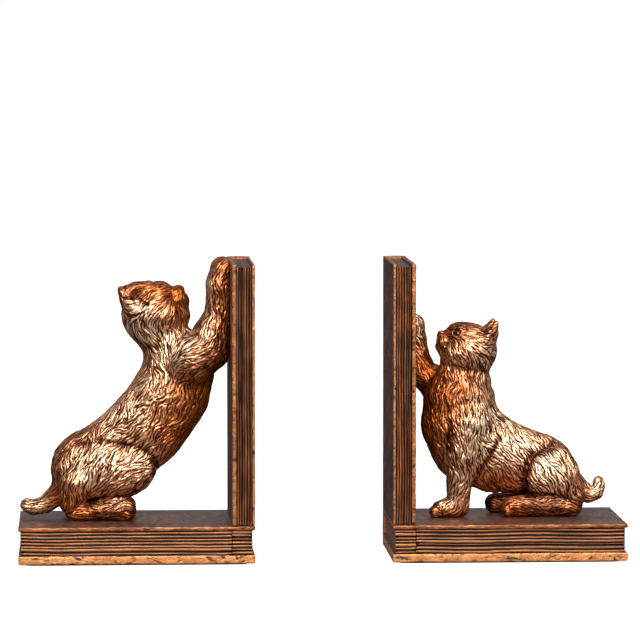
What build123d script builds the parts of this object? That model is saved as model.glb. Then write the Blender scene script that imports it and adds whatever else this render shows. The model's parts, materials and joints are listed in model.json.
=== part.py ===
"""A pair of book ends: two cast cats on L-shaped stands, each made of a lying and a standing book.

Millimetres. +X runs along the shelf, from the stretching cat's book end to the sitting cat's,
+Y runs away from the reader, and +Z is up. The origin lies on the shelf, midway along the pair.
Lengths along the shelf are measured from the middle of the pair, and side is -1 on the left
book end and 1 on the right one. "Inner" means the cat's side of the standing book.
"""

from build123d import *

import os

# ---- driving dimensions -------------------------------------------------------------------
stand_length = 131.0  # lying book, along the shelf
stand_depth = 82.0  # front edge of the covers to the back of the spine
book_gap = 76.0  # room for books between the two standing books, as stored

pad_thickness = 0.8  # non-slip sheet under each lying book
pad_inset = 4.0  # the sheet's margin inside the cover
pad_corner = 5.0

base_bottom_cover = 4.9  # layers of the lying book
base_pages = 13.4
base_top_cover = 2.6
upright_inner_cover = 2.7  # layers of the standing book
upright_pages = 8.4
upright_outer_cover = 1.9
upright_height = 144.8

spine_bulge = 2.5  # how far a spine rounds out behind the covers
page_recess = 0.7  # pages behind the covers' front edge
page_end_recess = 1.4  # pages short of the covers at their free ends
cover_corner = 2.5  # radius of a cover's free front corner
thick_cover_edge = 1.4  # rounding of the bottom cover's edges
thin_cover_edge = 0.6  # rounding of the other covers' edges

rib_pitch = 1.68  # carved page lines
rib_depth = 0.45
rib_land = 0.5  # share of the pitch that stays flat on top of a rib

book_pin_radius = 2.0  # steel pins that key the standing book to the lying one
book_pin_length = 24.0
book_pin_spread = 44.0  # between the two pins, across the depth
cat_pin_radius = 1.5  # steel pins that key each cat to its stand
foot_pin_length = 12.0
paw_pin_length = 8.0
pin_clearance = 0.05  # glue gap round every pin
pin_chamfer = 0.3

left_cat_y = 3.0  # middle plane of the stretching cat
right_cat_y = 8.0  # middle plane of the crouching cat
foot_spread = 9.5  # of the hind feet, from the cat's middle plane
left_arm_spread = 8.0  # of the stretching cat's arms
right_leg_spread = 8.0  # of the crouching cat's forelegs
paw_rise = 1.8  # the stretching cat's paws, above the standing book
paw_radius = 6.6
paw_pin_drop = 16.5  # pins below the top of the standing book
ear_tip_share = 0.2

# ---- worked out from them -----------------------------------------------------------------
pages_z = pad_thickness + base_bottom_cover
top_cover_z = pages_z + base_pages
stand_top = top_cover_z + base_top_cover
upright_top = stand_top + upright_height
upright_thickness = upright_inner_cover + upright_pages + upright_outer_cover
outer_face = book_gap / 2
inner_face = outer_face + upright_thickness
free_end = outer_face + stand_length
front = -stand_depth / 2
spine_face = stand_depth / 2 - spine_bulge
cover_depth = spine_face - front
cover_y = (spine_face + front) / 2
page_depth = cover_depth - page_recess
page_y = cover_y + page_recess / 2
outer_cover_x = outer_face + upright_outer_cover / 2
upright_page_x = outer_face + upright_outer_cover + upright_pages / 2
inner_cover_x = inner_face - upright_inner_cover / 2
book_pin_spots = [(upright_page_x, cover_y + shift * book_pin_spread / 2) for shift in (-1, 1)]

UPRIGHT = (0, 0, 0)  # turns of a pin from the Z axis
ALONG_SHELF = (0, 90, 0)
DOME = ((0.62, 0.79), (0.95, 0.31))  # reach and width of a limb's round end, as shares of its radius


def save(part, name):
    """Labels a finished piece and writes its STEP file."""
    part.label = name
    export_step(part, f"parts/{name}.step")


# ---- books --------------------------------------------------------------------------------
def board(centre, length, thickness, along, edge):
    """A cover board, with a round front corner at the end that along points to."""
    normal = Vector(*along).cross(Vector(0, 1, 0))
    with BuildPart() as cover:
        with BuildSketch(Plane(centre, x_dir=along, z_dir=normal)):
            Rectangle(length, cover_depth)
        extrude(amount=thickness / 2, both=True)
        corners = cover.edges().filter_by(Axis((0, 0, 0), normal)).group_by(Axis.Y)[0]
        fillet(corners.sort_by(Axis((0, 0, 0), along))[-1], cover_corner)
        faces = cover.faces().sort_by(Axis((0, 0, 0), normal))
        rims = faces[0].edges() + faces[-1].edges()
        back = rims.group_by(Axis.Y)[-1]
        fillet([rim for rim in rims if rim not in back], edge)
    return cover.part


def ribbed_outline(width, height, ribbed_sides):
    """A width by height rectangle with page ribs in its low side, -1, or its high side, 1."""
    count = max(2, round(height / rib_pitch))
    pitch = height / count
    slope = pitch * (1 - rib_land) / 2
    points = []
    for side in (-1, 1):
        edge = side * width / 2
        run = [(edge, -height / 2)]
        for rib in range(count * (side in ribbed_sides)):
            low = -height / 2 + rib * pitch
            run += [(edge, low + slope), (edge, low + pitch - slope)]
            if rib < count - 1:
                run.append((edge - side * rib_depth, low + pitch))
        run.append((edge, height / 2))
        points += run[:: -side]
    return points


def page_block(centre, length, stack, along, ribbed_ends):
    """Pages stacked across along, with their carved edges at the front and the ribbed ends."""
    with BuildPart() as block:
        with BuildSketch(Plane(centre, x_dir=(0, 1, 0), z_dir=along)):
            Polygon(*ribbed_outline(page_depth, stack, (-1,)), align=None)
        extrude(amount=length / 2, both=True)
        with BuildSketch(Plane(centre, x_dir=along, z_dir=(0, 1, 0))):
            Polygon(*ribbed_outline(length, stack, ribbed_ends), align=None)
        extrude(amount=page_depth / 2, both=True, mode=Mode.INTERSECT)
    return block.part


def rounded_spine(centre, length, stack, along):
    """The strip behind the covers, flat against them and rounded out at the back."""
    with BuildPart() as spine:
        with BuildSketch(Plane(centre, x_dir=(0, 1, 0), z_dir=along)):
            with BuildLine():
                ThreePointArc((0, -stack / 2), (spine_bulge, 0), (0, stack / 2))
                Line((0, stack / 2), (0, -stack / 2))
            make_face()
        extrude(amount=length / 2, both=True)
    return spine.part


def non_slip_pad(side):
    with BuildPart() as pad:
        with BuildSketch():
            with Locations((side * (outer_face + free_end) / 2, cover_y)):
                RectangleRounded(stand_length - 2 * pad_inset, cover_depth - 2 * pad_inset, pad_corner)
        extrude(amount=pad_thickness)
    return pad.part


def base_board(side, low, thickness, edge):
    """A cover of the lying book, whose underside is at height low."""
    centre = (side * (outer_face + free_end) / 2, cover_y, low + thickness / 2)
    return board(centre, stand_length, thickness, (side, 0, 0), edge)


def bottom_cover(side):
    return base_board(side, pad_thickness, base_bottom_cover, thick_cover_edge)


def top_cover(side, foot_places):
    """The lying book's upper cover, drilled for the pins of the standing book and of the cat."""
    with BuildPart() as cover:
        add(base_board(side, top_cover_z, base_top_cover, thin_cover_edge))
        drill_book_pins(side)
        drill_foot_pins(foot_places)
    return cover.part


def base_page_block(side, foot_places):
    """The lying book's pages, from the standing book's inner face to the free end."""
    end = free_end - page_end_recess
    centre = (side * (inner_face + end) / 2, page_y, pages_z + base_pages / 2)
    with BuildPart() as block:
        add(page_block(centre, end - inner_face, base_pages, (side, 0, 0), (1,)))
        drill_foot_pins(foot_places)
    return block.part


def end_page_block(side):
    """The lying book's pages under the standing book."""
    end = outer_face + page_end_recess
    centre = (side * (inner_face + end) / 2, page_y, pages_z + base_pages / 2)
    with BuildPart() as block:
        add(page_block(centre, inner_face - end, base_pages, (side, 0, 0), (-1,)))
        drill_book_pins(side)
    return block.part


def base_spine(side):
    stack = stand_top - pad_thickness
    centre = (side * (outer_face + free_end) / 2, spine_face, pad_thickness + stack / 2)
    return rounded_spine(centre, stand_length, stack, (1, 0, 0))


def upright_board(side, x, thickness):
    """A cover of the standing book, centred at x."""
    centre = (side * x, cover_y, stand_top + upright_height / 2)
    return board(centre, upright_height, thickness, (0, 0, 1), thin_cover_edge)


def outer_cover(side):
    return upright_board(side, outer_cover_x, upright_outer_cover)


def inner_cover(side, paw_places):
    """The standing book's cover on the cat's side, drilled for the paw pins."""
    with BuildPart() as cover:
        add(upright_board(side, inner_cover_x, upright_inner_cover))
        drill_paw_pins(paw_places)
    return cover.part


def upright_page_block(side, paw_places):
    """The standing book's pages, carved along the front and over the top."""
    height = upright_height - page_end_recess
    centre = (side * upright_page_x, page_y, stand_top + height / 2)
    with BuildPart() as block:
        add(page_block(centre, height, upright_pages, (0, 0, 1), (1,)))
        drill_book_pins(side)
        drill_paw_pins(paw_places)
    return block.part


def upright_spine(side):
    centre = (side * (outer_face + inner_face) / 2, spine_face, stand_top + upright_height / 2)
    return rounded_spine(centre, upright_height, upright_thickness, (0, 0, 1))


# ---- pins ---------------------------------------------------------------------------------
def pins_at(places, radius, length, turn):
    """A group of straight pins, each centred at its place."""
    with BuildPart() as pins:
        with Locations(places):
            Cylinder(radius, length, rotation=turn)
        chamfer(pins.edges().filter_by(GeomType.CIRCLE), pin_chamfer)
    return pins.part


def drill(places, radius, length, turn):
    """Cuts pin holes into the piece that is being built, with the glue gap all round."""
    with Locations(places):
        Cylinder(radius + pin_clearance, length + 2 * pin_clearance, rotation=turn, mode=Mode.SUBTRACT)


def book_pin_places(side):
    return [(side * x, y, stand_top) for x, y in book_pin_spots]


def drill_book_pins(side):
    drill(book_pin_places(side), book_pin_radius, book_pin_length, UPRIGHT)


def drill_foot_pins(places):
    drill(places, cat_pin_radius, foot_pin_length, UPRIGHT)


def drill_paw_pins(places):
    drill(places, cat_pin_radius, paw_pin_length, ALONG_SHELF)


def book_pins(side):
    """The pins from the lying book up into the standing one."""
    return pins_at(book_pin_places(side), book_pin_radius, book_pin_length, UPRIGHT)


def cat_pins(foot_places, paw_places):
    """The pins that hold one cat, at its feet and at its paws."""
    with BuildPart() as pins:
        add(pins_at(foot_places, cat_pin_radius, foot_pin_length, UPRIGHT))
        add(pins_at(paw_places, cat_pin_radius, paw_pin_length, ALONG_SHELF))
    return pins.part


# ---- cats ---------------------------------------------------------------------------------
# A cat's places are its distance from the standing book's inner face and its height above the
# lying book, so a cat stays seated on both books.
def spot(side, y, away, height):
    return Vector(side * (inner_face + away), y, stand_top + height)


def limb(side, y, *stations):
    """A round-ended limb in the plane y, through (away, height, radius in that plane, half width)."""
    body = [(spot(side, y, *station[:2]), Vector(*station[2:])) for station in stations]
    near = (body[0][0] - body[1][0]).normalized() * body[0][1].X
    far = (body[-1][0] - body[-2][0]).normalized() * body[-1][1].X
    near_dome = [(body[0][0] + near * reach, body[0][1] * share) for reach, share in DOME[::-1]]
    far_dome = [(body[-1][0] + far * reach, body[-1][1] * share) for reach, share in DOME]
    sections = near_dome + body + far_dome
    with BuildPart() as form:
        for i, (centre, size) in enumerate(sections):
            heading = sections[min(i + 1, len(sections) - 1)][0] - sections[max(i - 1, 0)][0]
            with BuildSketch(Plane(centre, x_dir=(0, 1, 0), z_dir=heading)):
                Ellipse(size.Y, size.X)
        loft()
    return form.part


def ellipsoid(centre, radii):
    with BuildPart() as ball:
        Sphere(1)
        scale(by=radii)
    return ball.part.moved(Location(centre))


def ear(base, tip, radius):
    """A pointed ear from the middle of its base to its tip."""
    reach = tip - base
    with BuildPart() as cone:
        with BuildSketch(Plane(base, z_dir=reach)):
            Circle(radius)
        with BuildSketch(Plane(tip, z_dir=reach)):
            Circle(radius * ear_tip_share)
        loft(ruled=True)
    return cone.part


def stretching_cat():
    """The left cat: hind feet on the lying book, both forepaws at the top of the standing one."""
    side, y = -1, left_cat_y
    forms = [
        limb(side, y, (80, 28, 20, 17), (67, 36, 21, 18), (53, 45, 20.5, 18), (42, 56, 20.5, 18.5)),
        limb(side, y, (45, 52, 20, 18), (36, 66, 21.5, 19), (29, 80, 21, 19), (28, 90, 17, 17)),
        limb(side, y, (31, 88, 17, 15), (38, 102, 15, 13.5), (42, 111, 14, 13)),
        ellipsoid(spot(side, y, 44, 114.3), (18.5, 15, 18)),
        limb(side, y, (37, 118.3, 12, 10), (30, 122.3, 7.5, 7)),
        limb(side, y, (91, 14.3, 7, 7), (99, 9.3, 5.5, 5.5), (107, 6.6, 4.4, 4.4), (113, 7.3, 4, 4)),
    ]
    palm = upright_height + paw_rise - paw_radius
    for near in (-1, 1):
        arm_y = y + near * left_arm_spread
        arm = ((23, 90, 13, 9), (11, 104, 10, 8), (6.5, palm - 18, 8, 7), (5.5, palm, 7, paw_radius))
        forms.append(limb(side, arm_y, *arm))
        forms.append(ellipsoid(spot(side, y + near * 10, 70, 25), (18.5, 9, 19)))
        foot = ((80, 6.3, 6.5, 5.5), (69, 5.3, 6.2, 5.8), (59.5, 5.8, 6.6, 6.2))
        forms.append(limb(side, y + near * foot_spread, *foot))
        ear_base, ear_tip = spot(side, y + near * 9, 52, 123), spot(side, y + near * 12, 60, 129)
        forms.append(ear(ear_base, ear_tip, 5.5))
    return forms


def crouching_cat():
    """The right cat: crouched on the lying book, far forepaw against the standing one."""
    side, y = 1, right_cat_y
    near_leg_y, raised_arm_y = y - right_leg_spread, y + right_leg_spread
    forms = [
        limb(side, y, (29, 76, 16, 14), (29, 64, 19, 16.5), (29, 52, 21.5, 18), (35, 41, 21, 18)),
        limb(side, y, (39, 38, 21, 18), (53, 33, 19.5, 18), (66, 30, 18.5, 18.5), (78, 26, 20, 18.5)),
        limb(side, y, (32, 94, 15.5, 14), (30, 82, 14.5, 13.5), (29, 72, 16, 14)),
        ellipsoid(spot(side, y, 33, 93.3), (16, 15, 15.8)),
        limb(side, y, (27, 95.3, 9, 8), (20.5, 96.8, 6, 5.5)),
        limb(side, y, (92, 14, 7, 7), (99, 11, 4.5, 4.5), (106, 12, 4.4, 4.4), (107, 16, 4.2, 4.2)),
        limb(side, raised_arm_y, (21, 70, 12, 9), (10, 82, 10, 8), (4.5, 96, 7, 7), (3.5, 105, 6.2, 6.2)),
        limb(side, near_leg_y, (29, 40, 12, 9), (27.5, 23, 8, 7.5), (26.5, 8, 7, 6.5)),
        limb(side, near_leg_y, (28, 5.3, 6.2, 6), (16, 5.1, 6, 6)),
    ]
    for near in (-1, 1):
        forms.append(ellipsoid(spot(side, y + near * 9.5, 78, 23), (17, 9.5, 19)))
        foot = ((89, 6.3, 6.6, 5.5), (73, 5.3, 6.2, 5.8), (56.5, 5.3, 6.4, 6.2))
        forms.append(limb(side, y + near * foot_spread, *foot))
        ear_base, ear_tip = spot(side, y + near * 8, 41, 102), spot(side, y + near * 10.5, 46.5, 110)
        forms.append(ear(ear_base, ear_tip, 4.5))
    return forms


def cast_cat(side, forms, foot_places, paw_places):
    """The forms in one casting, flat where it meets the stand, and drilled for its pins."""
    with BuildPart() as cat:
        add(forms)
        split(bisect_by=Plane.XY.offset(stand_top))
        split(bisect_by=Plane((side * inner_face, 0, 0), z_dir=(side, 0, 0)))
        drill_foot_pins(foot_places)
        drill_paw_pins(paw_places)
    return cat.part


left_feet = [spot(-1, left_cat_y + near * foot_spread, 69, 0) for near in (-1, 1)]
left_paws = [spot(-1, left_cat_y + near * left_arm_spread, 0, upright_height - paw_pin_drop) for near in (-1, 1)]
right_feet = [spot(1, right_cat_y + near * foot_spread, 73, 0) for near in (-1, 1)]
right_feet.append(spot(1, right_cat_y - right_leg_spread, 22, 0))
right_paws = [spot(1, right_cat_y + right_leg_spread, 0, 92)]

# ---- every piece, one file each -----------------------------------------------------------
BOOK_ENDS = (
    (-1, "left", "left_stretching_cat", stretching_cat(), left_feet, left_paws),
    (1, "right", "right_crouching_cat", crouching_cat(), right_feet, right_paws),
)

os.makedirs("parts", exist_ok=True)
for side, name, cat_name, forms, feet, paws in BOOK_ENDS:
    save(non_slip_pad(side), f"{name}_non_slip_pad")
    save(bottom_cover(side), f"{name}_base_bottom_cover")
    save(base_page_block(side, feet), f"{name}_base_page_block")
    save(end_page_block(side), f"{name}_base_end_page_block")
    save(top_cover(side, feet), f"{name}_base_top_cover")
    save(base_spine(side), f"{name}_base_spine")
    save(inner_cover(side, paws), f"{name}_upright_inner_cover")
    save(upright_page_block(side, paws), f"{name}_upright_page_block")
    save(outer_cover(side), f"{name}_upright_outer_cover")
    save(upright_spine(side), f"{name}_upright_spine")
    save(book_pins(side), f"{name}_upright_pins")
    save(cat_pins(feet, paws), f"{name}_cat_pins")
    save(cast_cat(side, forms, feet, paws), cat_name)
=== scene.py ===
"""Looks of a pair of cat book ends: antique copper cats on L-shaped stands made of two books.

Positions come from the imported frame. The cats are sculpted in millimetres, each in its own axes:
away from the standing book's inner face, sideways from the cat's middle plane (negative is nearer
the viewer) and height above the lying book.
"""

import json
import math

import bpy
import numpy as np
import openvdb
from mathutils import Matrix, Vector


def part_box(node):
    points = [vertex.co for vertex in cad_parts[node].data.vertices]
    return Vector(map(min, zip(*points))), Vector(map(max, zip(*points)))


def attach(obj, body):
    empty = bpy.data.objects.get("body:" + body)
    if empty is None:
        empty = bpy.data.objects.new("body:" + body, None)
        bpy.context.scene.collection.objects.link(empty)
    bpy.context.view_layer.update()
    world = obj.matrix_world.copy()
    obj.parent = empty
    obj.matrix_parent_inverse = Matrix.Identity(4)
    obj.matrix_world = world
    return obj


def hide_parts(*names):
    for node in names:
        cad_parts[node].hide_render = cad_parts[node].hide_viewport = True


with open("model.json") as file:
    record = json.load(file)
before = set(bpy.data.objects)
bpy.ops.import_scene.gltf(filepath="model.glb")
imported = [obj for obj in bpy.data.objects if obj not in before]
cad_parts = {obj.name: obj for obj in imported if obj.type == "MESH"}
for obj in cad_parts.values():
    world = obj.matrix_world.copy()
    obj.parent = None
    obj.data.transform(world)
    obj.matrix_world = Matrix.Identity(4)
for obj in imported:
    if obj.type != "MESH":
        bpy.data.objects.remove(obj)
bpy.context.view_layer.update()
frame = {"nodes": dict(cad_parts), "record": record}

MM = 0.001
SEED = 7
FAR = 1e3  # in millimetres, further than anything on the cats


# ---- sculpting: smooth unions of simple forms -----------------------------------------------
def limb(points, blend=4.0, squash=1.0, paired=False, coat="body", hair=1, fall=0.0, comb=None):
    """A chain of round cones through (away, sideways, height, radius).

    Hair 1 lies along the chain and -1 against it, and fall bends it downwards. A comb, (point,
    sign), draws the hair towards the point instead, or with sign -1 away from it.
    """
    return {"kind": "limb", "points": np.array(points, np.float32), "blend": blend, "squash": squash,
            "paired": paired, "coat": coat, "hair": hair, "fall": fall, "comb": comb}


def ball(centre, radii, hair=(0, 0, -1), blend=4.0, paired=False, coat="body", tilt=0.0, comb=None):
    """An ellipsoid, turned by tilt degrees in the middle plane, with hair along a direction."""
    return {"kind": "ball", "centre": np.array(centre, np.float32), "radii": np.array(radii, np.float32),
            "blend": blend, "paired": paired, "coat": coat, "hair": np.array(hair, np.float32),
            "tilt": math.radians(tilt), "comb": comb}


def limb_field(form, places):
    """Distance to a limb and the direction that its hair lies in at each place."""
    best = np.full(len(places), FAR, np.float32)
    along = np.zeros((len(places), 3), np.float32)
    points = form["points"]
    for start, end in zip(points[:-1], points[1:]):
        run = end[:3] - start[:3]
        share = np.clip((places - start[:3]) @ run / (run @ run), 0, 1)
        offset = places - start[:3] - share[:, None] * run
        offset[:, 1] /= form["squash"]
        gap = np.linalg.norm(offset, axis=1) - (start[3] + share * (end[3] - start[3]))
        nearer = gap < best
        best[nearer] = gap[nearer]
        along[nearer] = run / np.linalg.norm(run)
    return best, along * form["hair"] - np.array([0, 0, form["fall"]], np.float32)


def ball_field(form, places):
    """Distance to an ellipsoid, near enough for blending, and its hair direction."""
    offset = places - form["centre"]
    if form["tilt"]:
        cos, sin = math.cos(form["tilt"]), math.sin(form["tilt"])
        turned = offset.copy()
        turned[:, 0] = cos * offset[:, 0] + sin * offset[:, 2]
        turned[:, 2] = cos * offset[:, 2] - sin * offset[:, 0]
        offset = turned
    inner = np.linalg.norm(offset / form["radii"], axis=1)
    slope = np.linalg.norm(offset / form["radii"] ** 2, axis=1) + 1e-9
    return inner * (inner - 1) / slope, np.tile(form["hair"], (len(places), 1))


def form_field(form, places):
    """Distance and hair direction of a form, or of its mirrored pair."""
    measure = limb_field if form["kind"] == "limb" else ball_field
    far = places[:, 1] < 0 if form["paired"] else np.zeros(len(places), bool)
    mirrored = places.copy()
    mirrored[far, 1] *= -1
    gap, hair = measure(form, mirrored)
    if form["comb"]:
        point, sign = form["comb"]
        hair = sign * (np.array(point, np.float32) - mirrored)
        hair /= np.linalg.norm(hair, axis=1, keepdims=True) + 1e-6
    hair = hair.copy()
    hair[far, 1] *= -1
    return gap, hair


def smooth_union(first, second, blend):
    share = np.clip(0.5 + 0.5 * (second - first) / blend, 0, 1)
    return second * (1 - share) + first * share - blend * share * (1 - share)


def body_distance(forms, cuts, places):
    """Distance to the whole cat: every form joined, then the cuts taken out."""
    places = places.astype(np.float32)
    total = np.full(len(places), FAR, np.float32)
    for form in forms:
        total = smooth_union(form_field(form, places)[0], total, form["blend"])
    for cut in cuts:
        total = -smooth_union(-total, form_field(cut, places)[0], cut["blend"])
    return np.maximum(total, np.maximum(-places[:, 0], -places[:, 2]))  # flat against both books


# ---- from forms to a mesh -------------------------------------------------------------------
VOXEL = 0.42  # pitch of the fine cells, in millimetres
BLOCK = 4  # fine cells along one coarse cell
CAT_ROOM = (-3.0, -26.0, -3.0), (122.0, 26.0, 150.0)  # a box that holds either cat
BACKGROUND = 3.0  # distance that the grid holds where nothing is near
NORMAL_STEP = 0.2  # how far apart the distance is sampled for a normal


def grid_places(low, counts, pitch):
    """Places on a regular grid, as rows in the grid's own order."""
    axes = [low[i] + pitch * np.arange(counts[i]) for i in range(3)]
    return np.stack(np.meshgrid(*axes, indexing="ij"), -1).reshape(-1, 3)


def mesh_forms(forms, cuts, low, high):
    """Vertices and quads of the joined forms, measured finely only near their surface."""
    coarse_pitch = VOXEL * BLOCK
    counts = np.ceil((np.array(high) - low) / coarse_pitch).astype(int)
    centre_shift = VOXEL * (BLOCK - 1) / 2
    coarse = body_distance(forms, cuts, grid_places(np.array(low) + centre_shift, counts, coarse_pitch))
    field = coarse.reshape(counts)
    for axis in range(3):
        field = np.repeat(field, BLOCK, axis=axis)
    near = np.abs(field) < coarse_pitch * 1.15
    places = np.argwhere(near) * VOXEL + low
    field[near] = body_distance(forms, cuts, places)
    grid = openvdb.FloatGrid()
    grid.background = BACKGROUND
    grid.copyFromArray(field)
    points, quads = grid.convertToQuads(0.0)
    return points.astype(float) * VOXEL + low, quads[:, ::-1].astype(int)


def surface_normals(forms, cuts, points):
    normals = np.zeros(points.shape)
    for corner in ((1, 1, 1), (1, -1, -1), (-1, 1, -1), (-1, -1, 1)):  # of a small tetrahedron
        shift = NORMAL_STEP * np.array(corner)
        normals += body_distance(forms, cuts, points + shift)[:, None] * shift
    return normals / (np.linalg.norm(normals, axis=1, keepdims=True) + 1e-9)


# ---- fur ------------------------------------------------------------------------------------
COATS = {  # tool stroke length, spacing and depth, in millimetres
    "body": (5.0, 1.22, 0.78),
    "thigh": (5.8, 1.22, 0.75),
    "ruff": (5.2, 1.22, 0.75),
    "face": (3.2, 0.95, 0.36),
    "nose": (1.6, 0.85, 0.05),
    "ear": (3.0, 1.00, 0.14),
    "leg": (4.8, 1.18, 0.62),
    "paw": (3.8, 1.12, 0.50),
    "tail": (4.4, 1.15, 0.55),
}
COAT_BLEND = 2.4  # how far one form's coat runs into its neighbour's
STROKES_ALONG = 0.46  # gap between strokes along the hair, as a share of their length
CLUMP = 2.6  # size of the folds beneath the strokes, against the strokes' own size
CLUMP_DEPTH = 0.7
GROOVE = 0.28  # half width of a stroke's steep side, in millimetres
SLOPE = 0.65  # how far its gentle side runs out
TRIES = 5  # places tried for each stroke that there is room for
PROBE = 2.0  # how far along a stroke its bending is measured
SWIRLS = ((15, 0.34), (6.5, 0.30))  # size of the hair's wandering, and how far it turns, in radians


def noise_waves(size, draw, count=10):
    """Waves whose sum is a gentle field between about -1 and 1, with features of that size."""
    headings = draw.normal(size=(count, 3))
    headings /= np.linalg.norm(headings, axis=1, keepdims=True)
    headings *= draw.uniform(0.6, 1.4, (count, 1)) * 2 * math.pi / size
    return headings, draw.uniform(0, 2 * math.pi, count)


def noise_at(waves, places):
    headings, phases = waves
    return np.sin(places @ headings.T + phases).sum(1) / math.sqrt(len(phases))


def coat_at(forms, points):
    """Hair direction and stroke size at each point, blended from the nearest forms."""
    gaps, hairs = zip(*[form_field(form, points) for form in forms])
    gaps = np.stack(gaps)
    weights = np.exp(-(gaps - gaps.min(0)) / COAT_BLEND)
    weights /= weights.sum(0)
    flow = sum(weight[:, None] * hair for weight, hair in zip(weights, hairs))
    sizes = sum(weight[:, None] * np.array(COATS[form["coat"]]) for weight, form in zip(weights, forms))
    return flow, sizes


def tangent(flow, normals):
    """Unit directions of flow, laid flat on the surface."""
    flat = flow - (flow * normals).sum(1, keepdims=True) * normals
    return flat / (np.linalg.norm(flat, axis=1, keepdims=True) + 1e-6)


def turned(flow, normals, angle):
    side = np.cross(normals, flow)
    return np.cos(angle)[:, None] * flow + np.sin(angle)[:, None] * side


def spaced_seeds(points, flow, lengths, gaps, draw):
    """Indices of points that stand apart: further along the hair than across it."""
    taken = {}
    chosen = []
    cells = np.floor(points / (STROKES_ALONG * lengths.max())).astype(int)
    steps = [(i, j, k) for i in (-1, 0, 1) for j in (-1, 0, 1) for k in (-1, 0, 1)]
    room = len(points) * VOXEL**2 / (STROKES_ALONG * lengths * gaps).mean()
    tries = min(len(points), int(TRIES * room))
    for index in draw.permutation(len(points))[:tries]:
        x, y, z = cells[index]
        near = [other for i, j, k in steps for other in taken.get((x + i, y + j, z + k), ())]
        if near:
            offset = points[near] - points[index]
            run = offset @ flow[index]
            across = (offset * offset).sum(1) - run * run
            spread = (run / (STROKES_ALONG * lengths[index])) ** 2 + across / gaps[index] ** 2
            if spread.min() < 1:
                continue
        taken.setdefault((x, y, z), []).append(index)
        chosen.append(index)
    return np.array(chosen)


def pairs_within(seeds, points, reach):
    """Every (seed, point) pair closer than reach, found through a grid of cells."""
    low = points.min(0) - reach
    counts = np.ceil((points.max(0) - low) / reach).astype(int) + 2

    def keys_of(places, step=0):
        cells = np.floor((places - low) / reach).astype(int) + step
        return (cells[:, 0] * counts[1] + cells[:, 1]) * counts[2] + cells[:, 2]

    keys = keys_of(points)
    order = np.argsort(keys, kind="stable")
    sorted_keys = keys[order]
    found = []
    for step in np.ndindex(3, 3, 3):
        wanted = keys_of(seeds, np.array(step) - 1)
        first = np.searchsorted(sorted_keys, wanted, "left")
        sizes = np.searchsorted(sorted_keys, wanted, "right") - first
        seed_ids = np.repeat(np.arange(len(seeds)), sizes)
        starts = np.repeat(first - np.cumsum(sizes) + sizes, sizes)
        point_ids = order[starts + np.arange(sizes.sum())]
        close = ((points[point_ids] - seeds[seed_ids]) ** 2).sum(1) < reach * reach
        found.append((seed_ids[close], point_ids[close]))
    return tuple(np.concatenate(ids) for ids in zip(*found))


def engrave(points, normals, flow, swirl, lengths, gaps, scale, draw):
    """Depth of the tool strokes at each point, from 0 to 1, and the tone of the deepest one."""
    heading = turned(flow, normals, swirl(points))
    seeds = spaced_seeds(points, heading, lengths, gaps, draw)
    count = len(seeds)
    places, facing = points[seeds], normals[seeds]
    length = lengths[seeds] * draw.uniform(0.75, 1.25, count)
    along = turned(heading[seeds], facing, draw.normal(0, 0.10, count))
    across = np.cross(facing, along)
    ahead, here, behind = (swirl(places + shift * PROBE * along) for shift in (1, 0, -1))
    arc = (ahead - behind) / (4 * PROBE)
    snake = (ahead + behind - 2 * here) / (6 * PROBE**2)
    deep = draw.uniform(0.6, 1.0, count)
    lean = np.where(draw.random(count) < 0.5, -1, 1)
    tones = draw.random(count)

    seed_ids, point_ids = pairs_within(places, points, float(length.max()) * 0.52)
    offset = points[point_ids] - places[seed_ids]
    run = (offset * along[seed_ids]).sum(1)
    share = run / length[seed_ids] + 0.5
    kept = (share > 0) & (share < 1) & ((normals[point_ids] * facing[seed_ids]).sum(1) > 0.3)
    seed_ids, point_ids, offset, run, share = (
        part[kept] for part in (seed_ids, point_ids, offset, run, share)
    )
    curve = arc[seed_ids] * run**2 + snake[seed_ids] * run**3
    drift = ((offset * across[seed_ids]).sum(1) - curve) * lean[seed_ids] / scale
    steep = np.exp(-((drift / GROOVE) ** 2))
    gentle = 0.65 * np.exp(-np.abs(drift) / SLOPE) + 0.35 * steep
    depth = np.where(drift < 0, steep, gentle) * np.sin(math.pi * share) ** 0.6 * deep[seed_ids]
    order = np.argsort(depth, kind="stable")
    deepest = np.zeros(len(points))
    tone = np.full(len(points), 0.5)
    deepest[point_ids[order]] = depth[order]
    tone[point_ids[order]] = tones[seed_ids[order]]
    return deepest, tone


def lay_fur(forms, points, normals, draw):
    """How far the fur's strokes and folds sink each point, its crest share and its tone."""
    flow, sizes = coat_at(forms, points)
    flow = tangent(flow, normals)
    winds = [(turn, noise_waves(size, draw)) for size, turn in SWIRLS]

    def swirl(places):
        return sum(turn * noise_at(waves, places) for turn, waves in winds)

    fine, tone = engrave(points, normals, flow, swirl, sizes[:, 0], sizes[:, 1], 1, draw)
    folds = engrave(
        points, normals, flow, swirl, CLUMP * sizes[:, 0], CLUMP * sizes[:, 1], CLUMP, draw
    )[0]
    sink = (fine + CLUMP_DEPTH * folds) * sizes[:, 2]
    return sink, np.clip(1 - 0.85 * fine - 0.25 * folds, 0, 1), tone


def crease_depth(creases, points, normals):
    """Depth in millimetres of the drawn creases, each a line over one side of the cat."""
    total = np.zeros(len(points))
    for side, width, depth, path in creases:
        gap = np.full(len(points), FAR)
        for start, end in zip(np.array(path[:-1], float), np.array(path[1:], float)):
            run = end - start
            offset = points[:, (0, 2)] - start
            share = np.clip(offset @ run / (run @ run), 0, 1)
            gap = np.minimum(gap, np.linalg.norm(offset - share[:, None] * run, axis=1))
        facing = np.clip(np.abs(normals[:, 1]) * 3, 0, 1)
        if side:
            facing = facing * (points[:, 1] * side > 0)
        total = np.maximum(total, depth * np.exp(-((gap / width) ** 2)) * facing)
    return total


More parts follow.
